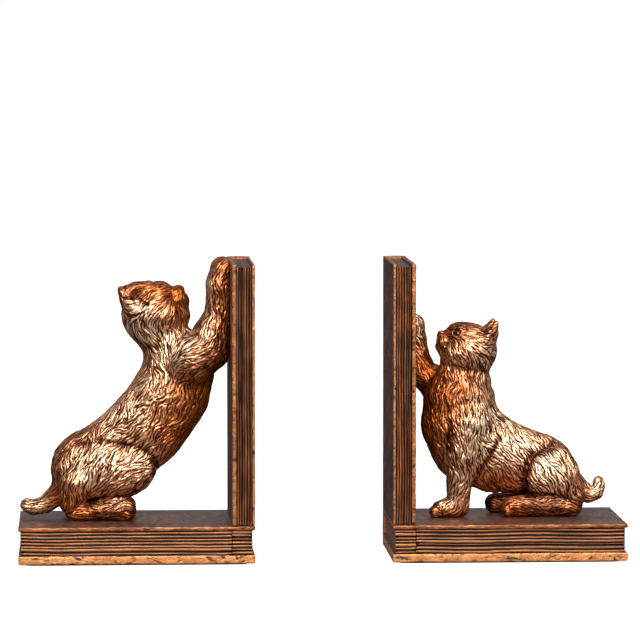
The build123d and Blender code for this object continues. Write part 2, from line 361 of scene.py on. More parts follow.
# ---- the two cats ---------------------------------------------------------------------------
def head_axes(centre, tilt, scale):
    """Turns the head's own (ahead, sideways, up) into the cat's axes, for places and directions."""
    cos, sin = math.cos(math.radians(tilt)), math.sin(math.radians(tilt))

    def heading(ahead, sideways, up):
        return up * sin - ahead * cos, sideways, ahead * sin + up * cos

    def at(ahead, sideways, up):
        away, aside, height = heading(ahead, sideways, up)
        return centre[0] + scale * away, scale * aside, centre[1] + scale * height

    return at, heading


# cones and hollows of the head, each a list of (ahead, sideways, up, radius)
PRICKED_EARS = (((-5.4, 7.8, 9.5, 5.2), (-5.4, 9.0, 14.2, 3.8), (-5.0, 10.0, 20.6, 1.0)),)
LOW_EARS = (
    ((-5.4, 7.8, 9.0, 5.0), (-4.6, 9.4, 14.5, 3.4), (-4.2, 10.2, 18.8, 1.5)),
    ((-4.0, 9.8, 18.2, 1.6), (2.6, 7.6, 15.6, 2.2), (8.0, 5.0, 11.0, 3.0)),
)
EAR_HOLLOWS = (((-1.2, 10.2, 12.4, 1.4), (-2.6, 11.0, 16.4, 0.6)),)
CLOSED_EYES = (((13.0, 4.9, 4.9, 0.40), (11.0, 7.2, 3.9, 0.45), (8.4, 8.4, 4.6, 0.35)),)
EYE_SOCKETS = ((2.7, 2.4, 2.1),)  # radii of an open eye's hollow


def head_forms(centre, tilt, scale, ears, hollows=(), sockets=(), slits=(), extra=()):
    """A cat's head whose nose points tilt degrees above the horizontal, and the cuts in it."""
    at, heading = head_axes(centre, tilt, scale)
    whorl = (at(21, 0, 1), -1)  # the face's hair runs back from the nose

    def lump(place, radii, coat, blend=2.4, paired=False, hair=None):
        sizes = [scale * radius for radius in radii]
        comb = None if hair else whorl
        return ball(at(*place), sizes, heading(*(hair or (0, 0, 0))), blend, paired, coat, -tilt, comb)

    def cone(stations, coat, blend=2.4, paired=False, squash=1.0, hair=None):
        points = [(*at(*station[:3]), scale * station[3]) for station in stations]
        return limb(points, blend, squash, paired, coat, hair or 1, comb=None if hair else whorl)

    forms = [
        lump((0, 0, 0), (15.3, 14.4, 15.0), "ruff"),
        lump((4.5, 0, 4.2), (10.6, 10.2, 8.8), "ruff"),
        lump((9.0, 0, 5.6), (7.4, 8.0, 5.8), "face"),
        lump((4.5, 8.8, -4.5), (8.2, 6.3, 7.8), "ruff", paired=True),
        cone([(8, 0, 2.2, 7.4), (17.0, 0, -0.6, 3.3)], "face", blend=3, squash=0.95),
        lump((14.6, 2.6, -2.8), (4.7, 3.7, 3.7), "face", blend=1.4, paired=True),
        lump((13.8, 0, -6.0), (4.6, 3.8, 3.2), "face", blend=1.4),
        cone([(8.5, 0, -6.2, 6.6), (1.0, 0, -12, 9.2)], "ruff"),
        lump((18.9, 0, 0.6), (1.5, 2.2, 1.3), "nose", blend=0.9),
        cone([(13.2, 3.2, 7.2, 1.5), (10.6, 6.4, 8.3, 1.7), (7.6, 8.2, 6.6, 1.3)], "face", 1.0, True),
        cone([(13.0, 4.4, 3.3, 1.0), (10.4, 7.4, 3.2, 1.2), (7.8, 8.4, 4.8, 1.0)], "face", 1.0, True),
        *(cone(stations, "ear", 1.4, True, hair=1) for stations in ears),
    ]
    forms += [lump(place, radii, coat, blend, paired) for place, radii, coat, blend, paired in extra]
    cuts = [
        *(lump((11.4, 7.0, 5.3), radii, "face", blend=0.8, paired=True) for radii in sockets),
        *(cone(stations, "face", 0.5, True) for stations in slits),
        *(cone(stations, "ear", 1.2, True) for stations in hollows),
        cone([(19.6, 1.4, 0.3, 0.45), (18.6, 2.3, 0.9, 0.35)], "nose", 0.3, True),
        cone([(19.4, 0, -0.8, 0.4), (18.9, 0, -2.9, 0.4)], "nose", 0.4),
        cone([(19.2, 0, -3.0, 0.45), (16.6, 4.0, -4.3, 0.45), (13.2, 6.2, -4.0, 0.3)], "face", 0.5, True),
    ]
    return forms, cuts


def eye_places(centre, tilt, scale):
    """Middle and radius of both eyes, near side first."""
    at = head_axes(centre, tilt, scale)[0]
    return [(at(10.7, side * 6.35, 5.2), scale * 2.2) for side in (-1, 1)]


# middle of each head (away, height), tilt of the nose in degrees, and size
STRETCHING_HEAD = ((43.6, 114.8), 40, 1.09)
CROUCHING_HEAD = ((33.9, 93.2), 28, 1.0)


def stretching_cat():
    """The left cat, up on its hind feet, with both forepaws at the top of the standing book."""
    spine = [(73, 0, 31, 20.5), (56, 0, 42.3, 21.6), (46.5, 0, 51, 21.3), (38.5, 0, 61, 21.7),
             (32.6, 0, 70.3, 21.7), (28.9, 0, 80.8, 20.2), (27, 0, 89, 17)]
    arm = [(20, 10.5, 90, 14.2), (11.5, 9.8, 94, 11.2), (10, 9.5, 102, 10.5), (6.0, 8.8, 114, 7.4),
           (5.1, 8.2, 131, 6.7)]
    hock = ((92, 12, 4), 1)
    forms = [
        limb(spine[:3], squash=0.74, hair=-1, fall=0.5),
        limb(spine[2:], squash=0.80, hair=-1, fall=0.5),
        ball((80, 0, 28), (20, 14.4, 20.6), comb=hock),
        limb([(30, 0, 90, 16), (36.5, 0, 101, 13.8), (43, 0, 110, 14)], squash=0.95, coat="ruff", hair=-1),
        limb(arm, squash=0.92, paired=True, coat="leg", hair=-1),
        limb([(5.0, 8.2, 131, 6.6), (3.6, 8.2, 139.8, 6.4)], paired=True, coat="paw", hair=-1),
        ball((66, 10.4, 27.5), (25, 9.0, 16.6), blend=1.2, paired=True, coat="thigh", tilt=-6, comb=hock),
        limb([(86, 10.5, 20, 9.5), (89, 11, 10, 6.4), (87.5, 11, 4.5, 4.6)],
             3, 0.9, True, "thigh", comb=hock),
        limb([(86, 10.8, 4.4, 4.4), (72, 11.2, 5.6, 5.6), (62, 11.5, 6.0, 6.3), (58.2, 11.7, 5.4, 5.8)],
             2.0, 1.0, True, "paw", hair=-1),
        limb([(94, 0, 15, 6.8), (103, 0, 7.9, 4.9), (110, 0, 6.2, 4.2), (113.6, 0, 7.4, 3.7)], coat="tail"),
    ]
    forms += toes((56.5, 11.7, 3.6), (1.9, 1.9, 3.2), 2.6)
    chin = ((14.5, 0, -4.6), (5.6, 5.4, 4.6), "face", 2.0, False)
    throat = ((10.0, 0, -9.8), (6.0, 6.4, 6.0), "face", 3.0, False)
    muzzle = ((16.6, 0, 0.0), (4.6, 4.8, 2.9), "face", 1.5, False)
    head, cuts = head_forms(*STRETCHING_HEAD, LOW_EARS, slits=CLOSED_EYES, extra=(chin, throat, muzzle))
    return forms + head, cuts


def crouching_cat():
    """The right cat, crouched with its far forepaw against the standing book."""
    spine = [(31, 0, 84, 13.6), (30, 0, 74, 16.0), (28, 0, 64, 20.2), (28.6, 0, 52, 22.2),
             (35, 0, 40.5, 22.4), (48, 0, 34, 21.6), (60, 0, 31, 19.2), (72, 0, 29.0, 17.2),
             (76, 0, 26.4, 17.4)]
    raised = [(18, 9, 72, 11), (8.8, 9, 78.5, 8.2), (5.7, 9, 88, 6.5), (4.2, 9, 98, 5.7)]
    foreleg = [(33, -9.5, 52, 12.5), (29.5, -11.2, 34, 9.6), (27.2, -11, 20, 7.2), (26.6, -10.8, 9, 6.3)]
    tail = [(90, 0, 19, 8), (95.5, 0, 14.4, 6.4), (101.5, 0, 11, 4.9), (106, 0, 12.2, 4.1),
            (107.6, 0, 16, 3.4), (107.2, 0, 18.4, 2.9)]
    hock = ((97, 12, 6), 1)
    forms = [
        limb(spine[:5], squash=0.84, hair=1),
        limb(spine[4:], squash=0.73, hair=1, fall=0.9),
        limb(raised, 3, coat="leg", hair=-1),
        limb([(4.2, 9, 99, 5.6), (3.0, 9, 107, 5.9)], 2, coat="paw", hair=-1),
        limb(foreleg, 2.6, coat="leg", fall=0.2),
        limb([(27, -10.8, 4.8, 5.6), (20, -11, 5.0, 5.6), (16.8, -11, 4.2, 5.0)], 2, coat="paw"),
        ball((79.5, 10.4, 23.5), (15.5, 9, 15.5), blend=1.4, paired=True, coat="thigh", comb=hock),
        limb([(86.5, 10.6, 21, 9.0), (91.5, 11, 12, 7.0), (91, 11, 6, 5.8)],
             2, 0.9, True, "thigh", comb=hock),
        limb([(90, 10.5, 5.4, 5.6), (74, 11, 5.6, 5.6), (62, 11.2, 5.8, 6.1), (57.2, 11.4, 5.2, 5.9)],
             2.0, 1.0, True, "paw", hair=-1),
        limb([(64, 11, 5.6, 5.6), (49.4, 10.4, 5.0, 5.6)], 2.0, 1.0, coat="paw", hair=-1),
        limb(tail, 3, coat="tail"),
    ]
    forms += toes((12.6, -11, 3.0), (2.4, 1.7, 2.9), 2.3, paired=False)
    forms += toes((53.4, 11.4, 3.4), (2.3, 1.9, 3.1), 2.5)
    head, cuts = head_forms(*CROUCHING_HEAD, PRICKED_EARS, EAR_HOLLOWS, EYE_SOCKETS)
    return forms + head, cuts


def toes(middle, radii, spacing, paired=True):
    """Four toes side by side at the front of a paw."""
    places = [(middle[0] + 0.5 * abs(step), middle[1] + step * spacing, middle[2])
              for step in (-1.5, -0.5, 0.5, 1.5)]
    return [ball(place, radii, (1, 0, 0), 0.6, paired, "paw") for place in places]


LEFT_CREASES = (  # side (-1 near, 1 far, 0 both), width, depth, line of (away, height)
    (0, 1.5, 0.7, ((86, 43.5), (75, 45), (65, 43.7), (55, 42), (48, 39.5), (43.5, 36), (41.4, 31),
                   (43, 25))),
    (0, 1.0, 0.8, ((80, 9), (74, 12.2), (66, 13.4), (58, 13.8), (52, 16))),
    (-1, 2.2, 0.5, ((53, 99), (46, 96.5), (38, 96.5))),
    (-1, 0.8, 0.7, ((59, 124), (52, 124.5), (46, 121))),
    (-1, 1.4, 0.8, ((3, 84), (9, 84), (14, 86))),
    (0, 0.6, 0.5, ((54, 4.6), (59, 5.4))),
)
RIGHT_CREASES = (
    (0, 1.5, 0.7, ((65, 13.5), (63.5, 22), (65, 29), (69, 35), (75, 38.6), (81, 39.5))),
    (-1, 1.5, 0.8, ((50, 44), (46, 37), (41, 30), (38.5, 25))),
    (0, 1.0, 0.8, ((80, 12.6), (72, 12.8), (63, 13.6))),
    (-1, 1.4, 0.6, ((20, 62), (21, 50), (20.5, 38))),
)


# ---- building the cats' meshes --------------------------------------------------------------
# Mask names: orange paint that is partly a painted reflection, gilt that is partly a painted highlight, and
# painted shade
ORANGE_AND_REFLECTION, GILT_AND_HIGHLIGHT, PAINTED_SHADE = "orange_and_painted_reflection", "gilt_and_painted_highlight", "painted_shade"
PROUD = 0.45  # how far the crests of the fur stand above the forms, in millimetres
FUR_EDGE = 0.8  # over which the fur fades out towards the flat faces on the books


def zone_strength(zones, kind, points):
    """How strongly the painted zones of one kind cover each point, from 0 to 1."""
    bare = np.ones(len(points))
    for name, centre, radii, strength in zones:
        if name == kind:
            gap = np.linalg.norm((points - np.array(centre)) / np.array(radii), axis=1)
            bare *= 1 - strength * np.exp(-gap**2)
    return 1 - bare


def add_attribute(mesh, name, values):
    mesh.attributes.new(name, "FLOAT", "POINT").data.foreach_set("value", values.astype(np.float32))


def mesh_object(name, points, faces):
    mesh = bpy.data.meshes.new(name)
    mesh.from_pydata(points.tolist(), [], [list(face) for face in faces])
    mesh.polygons.foreach_set("use_smooth", [True] * len(mesh.polygons))
    piece = bpy.data.objects.new(name, mesh)
    bpy.context.scene.collection.objects.link(piece)
    return piece


def cat_piece(name, node, side, forms_and_cuts, creases, zones):
    """One furred cat, standing on its lying book and cut flat against its standing book."""
    forms, cuts = forms_and_cuts
    draw = np.random.default_rng(SEED)
    points, quads = mesh_forms(forms, cuts, *CAT_ROOM)
    normals = surface_normals(forms, cuts, points)
    sink, crest, tone = lay_fur(forms, points, normals, draw)
    crease = crease_depth(creases, points, normals)
    loose = np.clip(points[:, (0, 2)].min(1) / FUR_EDGE, 0, 1)
    points = points + normals * ((PROUD - sink - crease) * loose)[:, None]
    points[:, 0] = np.maximum(points[:, 0], 0)
    points[:, 2] = np.maximum(points[:, 2], 0)
    piece = mesh_object(name, cat_places(points, node, side), quads if side < 0 else quads[:, ::-1])
    add_attribute(piece.data, "crest", crest * np.exp(-0.5 * crease))
    add_attribute(piece.data, "tone", tone)
    # Three zone masks: orange paint that also stands in for a painted reflection of the books, gilt placed
    # where the highlights fall and so partly a painted highlight, and painted shade
    for kind in (ORANGE_AND_REFLECTION, GILT_AND_HIGHLIGHT, PAINTED_SHADE):
        add_attribute(piece.data, kind, zone_strength(zones, kind, points))
    return piece


def cat_places(points, node, side):
    """Metres in the shared frame for points in a cat's own millimetres."""
    label = "left" if side < 0 else "right"
    inner = abs(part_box(f"{label}_upright_inner_cover")[0 if side < 0 else 1][0])
    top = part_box(f"{label}_base_top_cover")[1][2]
    middle = (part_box(node)[0][1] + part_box(node)[1][1]) / 2
    points = np.asarray(points, float)
    return np.stack([
        side * (inner + points[:, 0] * MM),
        middle + points[:, 1] * MM,
        top + points[:, 2] * MM,
    ], 1)


def eyeball(name, node, side, centre, radius):
    """A smooth round eye that shows between the lids."""
    rows, columns = 16, 24
    slope, turn = np.meshgrid(
        np.linspace(0, math.pi, rows + 1)[1:-1],
        np.linspace(0, 2 * math.pi, columns, endpoint=False),
        indexing="ij",
    )
    ring = np.stack([np.sin(slope) * np.cos(turn), np.cos(slope), np.sin(slope) * np.sin(turn)], -1)
    points = np.concatenate([ring.reshape(-1, 3), [(0, 1, 0), (0, -1, 0)]]) * radius + np.array(centre)
    index = np.arange((rows - 1) * columns).reshape(rows - 1, columns)
    faces = []
    for upper, lower in zip(index[:-1], index[1:]):
        faces += [list(quad) for quad in zip(upper, np.roll(upper, -1), np.roll(lower, -1), lower)]
    first, last = index.size, index.size + 1
    faces += [[first, b, a] for a, b in zip(index[0], np.roll(index[0], -1))]
    faces += [[last, a, b] for a, b in zip(index[-1], np.roll(index[-1], -1))]
    if side > 0:
        faces = [face[::-1] for face in faces]
    return mesh_object(name, cat_places(points, node, side), faces)


# ---- materials ------------------------------------------------------------------------------
BLACK, WHITE = (0, 0, 0), (1, 1, 1)


def new_material(name):
    material = bpy.data.materials.new(name)
    material.use_nodes = True
    tree = material.node_tree
    return material, tree, tree.nodes["Principled BSDF"]


def ramp(tree, factor, stops):
    """A colour ramp through (position, colour) stops, fed by a socket."""
    node = tree.nodes.new("ShaderNodeValToRGB")
    elements = node.color_ramp.elements
    while len(elements) < len(stops):
        elements.new(0.5)
    for element, (position, colour) in zip(elements, stops):
        element.position = position
        element.color = (*colour, 1)
    tree.links.new(factor, node.inputs["Fac"])
    return node.outputs["Color"]


def attribute(tree, name):
    node = tree.nodes.new("ShaderNodeAttribute")
    node.attribute_name = name
    return node.outputs["Fac"]


def math_node(tree, operation, first, second, clamp=False):
    node = tree.nodes.new("ShaderNodeMath")
    node.operation = operation
    node.use_clamp = clamp
    for socket, value in zip(node.inputs, (first, second)):
        if isinstance(value, (int, float)):
            socket.default_value = value
        else:
            tree.links.new(value, socket)
    return node.outputs[0]


def centred(tree, factor):
    """A factor that runs from 0 to 1, moved to lie about zero."""
    return math_node(tree, "SUBTRACT", factor, 0.5)


def mix_colour(tree, factor, first, second):
    node = tree.nodes.new("ShaderNodeMix")
    node.data_type = "RGBA"
    for socket, value in zip((node.inputs[0], node.inputs[6], node.inputs[7]), (factor, first, second)):
        if isinstance(value, (int, float)):
            socket.default_value = value
        elif isinstance(value, tuple):
            socket.default_value = (*value, 1)
        else:
            tree.links.new(value, socket)
    return node.outputs[2]


def noise(tree, size, detail=4.0, roughness=0.55, stretch=(1, 1, 1)):
    """Noise with features of about size metres, in the object's own coordinates."""
    place = tree.nodes.new("ShaderNodeTexCoord")
    scaled = tree.nodes.new("ShaderNodeMapping")
    scaled.inputs["Scale"].default_value = stretch
    node = tree.nodes.new("ShaderNodeTexNoise")
    node.inputs["Scale"].default_value = 1 / size
    node.inputs["Detail"].default_value = detail
    node.inputs["Roughness"].default_value = roughness
    tree.links.new(place.outputs["Object"], scaled.inputs["Vector"])
    tree.links.new(scaled.outputs["Vector"], node.inputs["Vector"])
    return node.outputs["Fac"]


def bump(tree, shader, height, strength, distance):
    node = tree.nodes.new("ShaderNodeBump")
    node.inputs["Strength"].default_value = strength
    node.inputs["Distance"].default_value = distance
    tree.links.new(height, node.inputs["Height"])
    tree.links.new(node.outputs["Normal"], shader.inputs["Normal"])


def cat_material():
    """Antique copper: black in the grooves and copper. Orange paint in places also stands in for a painted
    reflection of the books. Gilt on the crests sits inside zones set where highlights fall, so it is partly
    a painted highlight. Painted shade blackens the copper in zones under the limbs and beside the books.
    """
    material, tree, shader = new_material("antique_copper")
    crest = attribute(tree, "crest")
    streak = math_node(tree, "MULTIPLY", centred(tree, attribute(tree, "tone")), 0.22)
    patch = math_node(tree, "MULTIPLY", centred(tree, noise(tree, 0.009)), 0.40)
    worn = math_node(tree, "ADD", crest, math_node(tree, "ADD", streak, patch))
    copper = ramp(tree, worn, (
        (0.20, (0.004, 0.002, 0.001)),
        (0.46, (0.050, 0.015, 0.006)),
        (0.70, (0.280, 0.084, 0.028)),
        (0.96, (0.600, 0.225, 0.085)),
    ))
    orange = ramp(tree, worn, (
        (0.18, (0.006, 0.001, 0.001)),
        (0.42, (0.090, 0.016, 0.002)),
        (0.68, (0.380, 0.075, 0.006)),
        (0.96, (0.680, 0.190, 0.024)),
    ))
    # Orange paint inside zones on the undersides and on the sides that face the standing book, which also
    # stands in for a painted reflection of the copper books
    base = mix_colour(tree, attribute(tree, ORANGE_AND_REFLECTION), copper, orange)
    # Gilt on the crests, only inside zones placed where the highlights fall: partly gilding that the cats
    # have, partly a painted highlight
    gilt_and_highlight_share = math_node(tree, "SUBTRACT", worn, 0.57)
    gilt_and_highlight_share = math_node(tree, "MULTIPLY", gilt_and_highlight_share, 3.4, clamp=True)
    gilt_and_highlight_share = math_node(tree, "MULTIPLY", gilt_and_highlight_share, attribute(tree, GILT_AND_HIGHLIGHT), clamp=True)
    base = mix_colour(tree, gilt_and_highlight_share, base, (1.00, 0.76, 0.50))
    # Painted shade: inside the shade zones the copper is blackened, under the limbs and paws, beside the
    # standing book and on the far side
    base = mix_colour(tree, attribute(tree, PAINTED_SHADE), base, (0.012, 0.005, 0.003))
    tree.links.new(base, shader.inputs["Base Color"])
    shader.inputs["Metallic"].default_value = 0.85
    shader.inputs["Roughness"].default_value = 0.36
    shader.inputs["Specular IOR Level"].default_value = 0.3
    return material


def eye_material():
    """Dark amber glass-smooth paint over the copper."""
    material, tree, shader = new_material("eye_gloss")
    depth = noise(tree, 0.0015)
    base = ramp(tree, depth, ((0.3, (0.006, 0.003, 0.002)), (0.8, (0.040, 0.014, 0.006))))
    tree.links.new(base, shader.inputs["Base Color"])
    shader.inputs["Roughness"].default_value = 0.12
    shader.inputs["Specular IOR Level"].default_value = 0.4
    return material


def leather_material():
    """Dark copper leather grain on the boards' faces, with a painted highlight on the grain's tops, and worn
    golden copper on their edges, painted lighter or darker per board for how the light falls on it.
    """
    material, tree, shader = new_material("book_cover")
    grain = noise(tree, 0.0016, 3, 0.6)
    patch = ramp(tree, noise(tree, 0.035, 3), ((0.36, BLACK), (0.66, WHITE)))
    face = mix_colour(tree, patch, (0.056, 0.038, 0.040), (0.150, 0.050, 0.021))
    pebble = math_node(tree, "ADD", attribute(tree, "pebble"), centred(tree, grain))
    pore = ramp(tree, pebble, ((0.25, WHITE), (0.48, BLACK)))
    face = mix_colour(tree, pore, face, (0.008, 0.005, 0.004))
    # Painted highlight: the tops of the pebbled grain are lightened
    painted_grain_highlight = ramp(tree, pebble, ((0.55, BLACK), (0.90, WHITE)))
    face = mix_colour(tree, painted_grain_highlight, face, (0.330, 0.160, 0.100))
    fleck = ramp(tree, noise(tree, 0.0018, 5, 0.7, (0.35, 1, 1)), ((0.37, WHITE), (0.46, BLACK)))
    # Painted light and shade on the rims: how bright each board's rim is, set per board for how the light
    # falls on it
    bright = math_node(tree, "ADD", attribute(tree, "rim_painted_light"), centred(tree, noise(tree, 0.008)), clamp=True)
    rim = mix_colour(tree, bright, (0.150, 0.044, 0.014), (0.600, 0.240, 0.074))
    rim = mix_colour(tree, fleck, rim, (0.018, 0.007, 0.004))
    wear = math_node(tree, "ADD", attribute(tree, "wear"), centred(tree, noise(tree, 0.004)))
    wear = math_node(tree, "MULTIPLY", math_node(tree, "SUBTRACT", wear, 0.35), 4, clamp=True)
    tree.links.new(mix_colour(tree, wear, face, rim), shader.inputs["Base Color"])
    shader.inputs["Metallic"].default_value = 0.6
    shader.inputs["Roughness"].default_value = 0.38
    bump(tree, shader, grain, 0.8, 0.0006)
    return material


def page_material(name, ridge, hollow, along):
    """Copper page edges: lit ridges over nearly black grooves, streaked along the pages."""
    material, tree, shader = new_material(name)
    groove = attribute(tree, "groove")
    streaks = tuple(0.10 if axis == along else 1 for axis in range(3))
    stain = centred(tree, noise(tree, 0.0018, 4, 0.6, streaks))
    depth = math_node(tree, "ADD", groove, math_node(tree, "MULTIPLY", stain, 0.5))
    dull = tuple(0.40 * channel for channel in ridge)
    base = ramp(tree, depth, ((0.02, ridge), (0.20, dull), (0.44, hollow)))
    tree.links.new(base, shader.inputs["Base Color"])
    shader.inputs["Metallic"].default_value = 0.6
    shader.inputs["Roughness"].default_value = 0.38
    shader.inputs["Specular IOR Level"].default_value = 0.2
    bump(tree, shader, noise(tree, 0.0012, 4), 0.3, 0.0003)
    return material


def spine_material():
    """Orange-brown copper with a leather grain, darker in patches."""
    material, tree, shader = new_material("book_spine")
    grain = noise(tree, 0.0010, 3)
    patch = noise(tree, 0.018, 4)
    base = mix_colour(tree, patch, (0.110, 0.040, 0.018), (0.420, 0.170, 0.062))
    pore = ramp(tree, grain, ((0.30, WHITE), (0.50, BLACK)))
    base = mix_colour(tree, pore, base, (0.030, 0.013, 0.009))
    tree.links.new(base, shader.inputs["Base Color"])
    shader.inputs["Metallic"].default_value = 0.6
    shader.inputs["Roughness"].default_value = 0.40
    bump(tree, shader, grain, 0.5, 0.0004)
    return material


def foam_material():
    """Matt black foam rubber with fine open cells."""
    material, tree, shader = new_material("non_slip_foam")
    cells = noise(tree, 0.0007, 2)
    base = ramp(tree, cells, ((0.35, (0.006, 0.006, 0.006)), (0.65, (0.030, 0.030, 0.030))))
    tree.links.new(base, shader.inputs["Base Color"])
    shader.inputs["Roughness"].default_value = 0.9
    bump(tree, shader, cells, 0.8, 0.0003)
    return material


def steel_material():
    """Drawn steel with fine marks along its length."""
    material, tree, shader = new_material("steel_pins")
    marks = noise(tree, 0.0008, 3, 0.6, (0.1, 1, 1))
    base = ramp(tree, marks, ((0.3, (0.30, 0.30, 0.31)), (0.7, (0.55, 0.55, 0.56))))
    tree.links.new(base, shader.inputs["Base Color"])
    shader.inputs["Metallic"].default_value = 1.0
    shader.inputs["Roughness"].default_value = 0.3
    return material


# ---- the books ------------------------------------------------------------------------------
EDGE_ROUND = 0.7  # corner radius of a cover, in millimetres
GROOVE_WIDTH = 0.52  # of the gaps between page ridges
PAGE_STEP = 0.24  # mesh pitch across the pages
PAGE_ROUND = 0.3  # corner radius of a page block
RIM_WIDTH = 1.3  # how far a board's worn rim reaches onto its face
CHIP_SIZE, CHIP_DEPTH = 3.2, 0.45  # of what is knocked out of the rims
DENT_SIZE, DENT_DEPTH = 11, 0.07  # of the boards' slow unevenness
PEBBLES = ((3.4, 0.6), (1.9, 0.4))  # size and share of the leather's two grains
PEBBLE_DEPTH = 0.10


def axis_lines(low, high, pitch, ends):
    """Grid lines from low to high, closer together at both ends where the corners are round."""
    inner = np.linspace(low + ends, high - ends, max(2, round((high - low - 2 * ends) / pitch) + 1))
    corner = ends * np.array([0, 0.12, 0.35, 0.65])
    return np.concatenate([low + corner, inner, high - corner[::-1]])


def grid_box(lines):
    """Vertices and outward quads of a box, divided along the given lines of each axis."""
    points, faces, total = [], [], 0
    for axis in range(3):
        first, second = (axis + 1) % 3, (axis + 2) % 3
        rows, columns = len(lines[first]), len(lines[second])
        for outward in (False, True):
            face = np.zeros((rows, columns, 3))
            face[..., axis] = lines[axis][-1 if outward else 0]
            face[..., first] = lines[first][:, None]
            face[..., second] = lines[second][None, :]
            index = total + np.arange(rows * columns).reshape(rows, columns)
            corners = (index[:-1, :-1], index[1:, :-1], index[1:, 1:], index[:-1, 1:])
            quads = np.stack(corners, -1).reshape(-1, 4)
            points.append(face.reshape(-1, 3))
            faces.append(quads if outward else quads[:, ::-1])
            total += rows * columns
    points, faces = np.concatenate(points), np.concatenate(faces)
    points, where = np.unique(np.round(points, 5), axis=0, return_inverse=True)
    return points, where.reshape(-1)[faces]


def rounded(points, low, high, radius):
    """Points of a box moved onto its rounded corners, and the outward direction at each."""
    core = np.clip(points, low + radius, high - radius)
    out = points - core
    size = np.linalg.norm(out, axis=1, keepdims=True)
    out = out / (size + 1e-9)
    return core + out * radius, out


def book_box(node):
    """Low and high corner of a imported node, in millimetres."""
    low, high = (np.array(corner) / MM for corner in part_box(node))
    return low, high


def place_slab(node, points, faces, attributes, material, body):
    """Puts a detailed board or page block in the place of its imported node."""
    piece = mesh_object(node + "_detail", points * MM, faces)
    for name, values in attributes.items():
        add_attribute(piece.data, name, values)
    piece.data.materials.append(material)
    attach(piece, body)
    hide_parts(node)


def cover(node, thin, rim_painted_light, material, body, draw):
    """A leather-covered board: soft corners, chipped rims and a slightly uneven face, its rim painted
    lighter or darker by the third argument for how the light falls on that board: painted light and shade.
    """
    low, high = book_box(node)
    pitches = [0.6 if axis == thin else 0.9 for axis in range(3)]
    lines = [axis_lines(low[axis], high[axis], pitches[axis], EDGE_ROUND) for axis in range(3)]
    points, faces = grid_box(lines)
    inset = np.sort(np.minimum(points - low, high - points), axis=1)[:, 1]
    points, out = rounded(points, low, high, EDGE_ROUND)
    rim = np.exp(-inset / RIM_WIDTH)
    side = 1 - np.abs(out[:, thin])
    chips = np.clip(noise_at(noise_waves(CHIP_SIZE, draw, 24), points) - 0.5, 0, 1.2)
    dents = np.clip(noise_at(noise_waves(DENT_SIZE, draw), points), -1, 1) + 1
    pebble = sum(share * noise_at(noise_waves(size, draw, 40), points) for size, share in PEBBLES)
    pebble = np.clip(pebble, -1, 1) * (1 - side)
    sink = CHIP_DEPTH * rim * chips + DENT_DEPTH * dents + PEBBLE_DEPTH * (1 - pebble) * (1 - side)
    points = points - out * sink[:, None]
    wear = np.clip(side * 1.2 + 0.55 * rim * (1 - side), 0, 1)
    attributes = {"wear": wear, "rim_painted_light": np.full(len(points), rim_painted_light), "pebble": 0.5 + 0.22 * pebble}
    place_slab(node, points, faces, attributes, material, body)


def page_block(node, thin, ridges, material, body, draw):
    """Pages swollen into ridges, with a groove of its own depth between each two."""
    low, high = book_box(node)
    pitches = [PAGE_STEP if axis == thin else 2.2 for axis in range(3)]
    lines = [axis_lines(low[axis], high[axis], pitches[axis], PAGE_ROUND) for axis in range(3)]
    points, faces = grid_box(lines)
    points, out = rounded(points, low, high, PAGE_ROUND)
    across = points[:, thin] - low[thin]
    across = across + 0.22 * noise_at(noise_waves(45, draw), points)
    across = across + 0.05 * noise_at(noise_waves(9, draw), points)
    pitch = (high[thin] - low[thin]) / ridges
    groove = np.zeros(len(points))
    for index in range(ridges + 1):
        place = pitch * (index + draw.uniform(-0.16, 0.16) * (0 < index < ridges))
        strength = draw.uniform(0.55, 1.0)
        width = GROOVE_WIDTH * draw.uniform(0.7, 1.3)
        fade = 0.85 + 0.15 * noise_at(noise_waves(30, draw), points)
        groove = np.maximum(groove, strength * fade * np.exp(-(((across - place) / width) ** 2)))
    fine = 0.22 * np.clip(np.sin(2 * math.pi * across / (pitch / 3.0)), 0, 1) * draw.uniform(0.6, 1)
    side = 1 - np.abs(out[:, thin])
    sink = (0.75 * groove + 0.25 * fine + 0.10) * side
    points = points - out * sink[:, None]
    depth = np.clip(groove + fine, 0, 1.2)
    place_slab(node, points, faces, {"groove": depth}, material, body)


def build_books():
    """Replaces each side's boards and pages with worn, ridged ones in the same boxes."""
    leather, spine, foam, steel = leather_material(), spine_material(), foam_material(), steel_material()
    upward, outward = 2, 0
    lying_pages = page_material("lying_pages", (0.340, 0.126, 0.047), (0.004, 0.002, 0.001), outward)
    standing_pages = page_material("standing_pages", (0.400, 0.128, 0.044), (0.012, 0.005, 0.003), upward)
    draw = np.random.default_rng(SEED + 1)
    for side in ("left", "right"):
        body = f"{side}_book_end"
        # The third numbers set each rim's painted light and shade: lighter on the bottom board's rim, darker
        # on the top and standing boards
        cover(f"{side}_base_bottom_cover", upward, 0.68, leather, body, draw)
        cover(f"{side}_base_top_cover", upward, 0.12, leather, body, draw)
        cover(f"{side}_upright_inner_cover", outward, 0.20, leather, body, draw)
        cover(f"{side}_upright_outer_cover", outward, 0.30, leather, body, draw)
        page_block(f"{side}_base_page_block", upward, 7, lying_pages, body, draw)
        page_block(f"{side}_base_end_page_block", upward, 7, lying_pages, body, draw)
        page_block(f"{side}_upright_page_block", outward, 6, standing_pages, body, draw)
    finishes = {"book_spine": spine, "non_slip_foam": foam, "steel_pins": steel}
    for part in frame["record"]["subparts"]:
        if part["material_slot"] in finishes:
            paint_node(part["node"], finishes[part["material_slot"]])


def paint_node(name, material):
    """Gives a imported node, whose shape stays, one material."""
    piece = frame["nodes"][name]
    piece.data.materials.clear()
    piece.data.materials.append(material)


